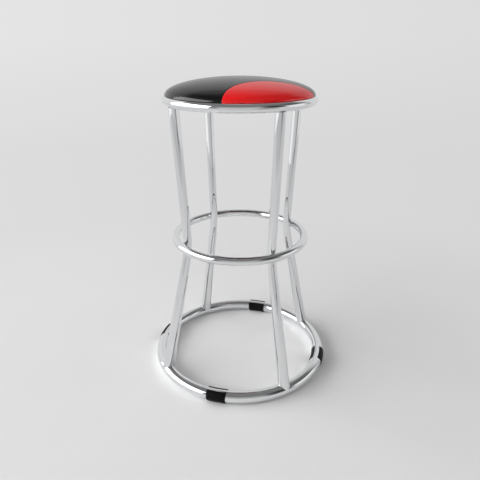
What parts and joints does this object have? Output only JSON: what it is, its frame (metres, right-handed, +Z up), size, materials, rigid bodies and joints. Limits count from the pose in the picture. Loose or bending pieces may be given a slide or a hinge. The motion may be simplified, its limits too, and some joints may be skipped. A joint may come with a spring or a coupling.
{
  "type": "bar stool",
  "caption": "Chromed tube bar stool: a domed vinyl seat on a ring, splayed legs with a narrow waist, a footrest ring and a ring base with floor clips.",
  "frame": {"origin": "on the floor, under the centre of the seat", "axes": "+Z up, -Y the front; the legs stand on the diagonals and the floor clips on the X and Y axes"},
  "size_m": [0.507, 0.507, 0.798],
  "materials": {
    "chrome": "mirror chrome plate on steel tube",
    "zinc_plate": "bright zinc plate, slightly satin",
    "clip_plastic": "moulded black plastic, fine satin",
    "plywood": "raw birch plywood",
    "black_cloth": "non-woven upholsterer's cloth",
    "foam": "open cell upholstery foam",
    "black_vinyl": "glossy smooth vinyl",
    "red_vinyl": "glossy smooth vinyl"
  },
  "bodies": {
    "root": {"base_ring": "chrome", "footrest_ring": "chrome", "seat_ring": "chrome", "leg_back_right": "chrome", "leg_back_left": "chrome", "leg_front_left": "chrome", "leg_front_right": "chrome", "floor_clip_right": "clip_plastic", "floor_clip_back": "clip_plastic", "floor_clip_left": "clip_plastic", "floor_clip_front": "clip_plastic", "seat_tab_right": "chrome", "seat_tab_back": "chrome", "seat_tab_left": "chrome", "seat_tab_front": "chrome", "seat_washer_right": "zinc_plate", "seat_washer_back": "zinc_plate", "seat_washer_left": "zinc_plate", "seat_washer_front": "zinc_plate", "seat_screw_right": "zinc_plate", "seat_screw_back": "zinc_plate", "seat_screw_left": "zinc_plate", "seat_screw_front": "zinc_plate", "tee_nut_right": "zinc_plate", "tee_nut_back": "zinc_plate", "tee_nut_left": "zinc_plate", "tee_nut_front": "zinc_plate", "seat_board": "plywood", "underseat_cloth": "black_cloth", "cushion_foam": "foam", "cover_black_panel": "black_vinyl", "cover_red_panel": "red_vinyl"}
  },
  "joints": []
}
